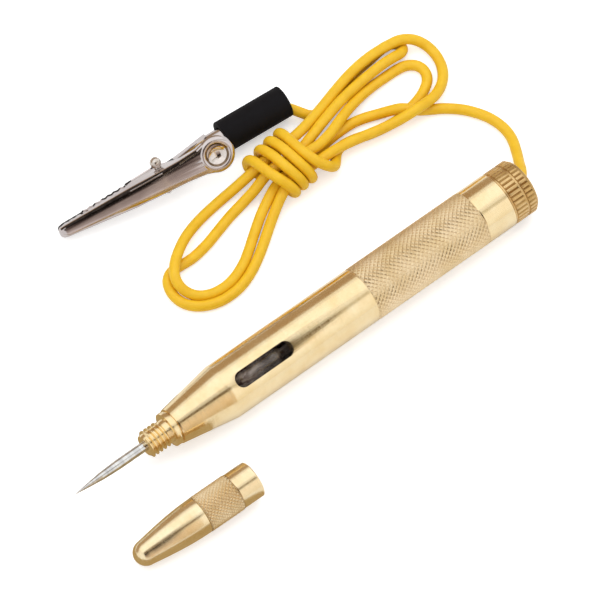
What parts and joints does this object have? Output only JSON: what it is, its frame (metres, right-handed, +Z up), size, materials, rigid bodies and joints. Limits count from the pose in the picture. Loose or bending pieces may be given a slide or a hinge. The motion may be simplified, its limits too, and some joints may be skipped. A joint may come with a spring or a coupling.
{
  "type": "test light",
  "caption": "Pen-shaped test light: brass barrel with a lamp behind a window, steel probe needle, screw-on nose cap lying beside it, and a tied lead ending in a spring clip.",
  "frame": {"origin": "centre of the footprint of the light and its nose cap on the surface that they lie on, without the lead and the clip", "axes": "+X along the barrel from the needle's tip to the end cap, +Y to the side where the lead lies, +Z up"},
  "size_m": [0.1265, 0.0774, 0.0128],
  "materials": {
    "barrel_brass": "turned and polished",
    "cap_brass": "turned and polished, with a knurled band",
    "end_cap_brass": "turned, with milled flutes",
    "needle_steel": "ground and plated",
    "lamp_glass": "clear blown glass",
    "lamp_brass": "drawn sheet",
    "contact_brass": "turned",
    "solder": "tinned",
    "lamp_wire": "drawn wire",
    "spring_steel": "drawn wire",
    "black_insulator": "moulded",
    "liner_plastic": "moulded tube",
    "yellow_lead": "soft extruded covering",
    "clip_steel": "pressed and nickel plated",
    "pin_steel": "headed and plated",
    "sleeve_vinyl": "soft sleeve"
  },
  "bodies": {
    "light": {"barrel": "barrel_brass", "needle": "needle_steel", "nose_cap": "cap_brass", "lamp_glass": "lamp_glass", "lamp_base": "lamp_brass", "lamp_insulator": "black_insulator", "lamp_contact": "solder", "lamp_stem": "lamp_glass", "lamp_posts": "lamp_wire", "lamp_filament": "lamp_wire", "lamp_holder": "lamp_brass", "contact_plunger": "contact_brass", "contact_spring": "spring_steel", "insulating_liner": "liner_plastic", "lead_terminal": "contact_brass", "rear_plug": "black_insulator", "lead_run": "yellow_lead", "lead_upper_loops": "yellow_lead", "lead_wraps": "yellow_lead", "lead_lower_loops": "yellow_lead", "lead_tail": "yellow_lead", "clip_lower_jaw": "clip_steel", "clip_pin": "pin_steel", "clip_spring": "spring_steel", "clip_sleeve": "sleeve_vinyl"},
    "end_cap": {"end_cap": "end_cap_brass"},
    "clip_upper_jaw": {"clip_upper_jaw": "clip_steel"}
  },
  "joints": [
    {"name": "end_cap_turn", "type": "hinge", "parent": "light", "child": "end_cap", "pos_m": [0.0526, 0.0085, 0.0064], "axis": [1, 0, 0], "continuous": true},
    {"name": "clip_jaw_turn", "type": "hinge", "parent": "light", "child": "clip_upper_jaw", "pos_m": [0.002, 0.0567, 0.00525], "axis": [0.0404, 0.699, 0.714], "range_deg": [0, 12], "stiffness_Nm_per_rad": 0.05, "springref_deg": -68.75, "deforming": ["clip_spring"]}
  ]
}
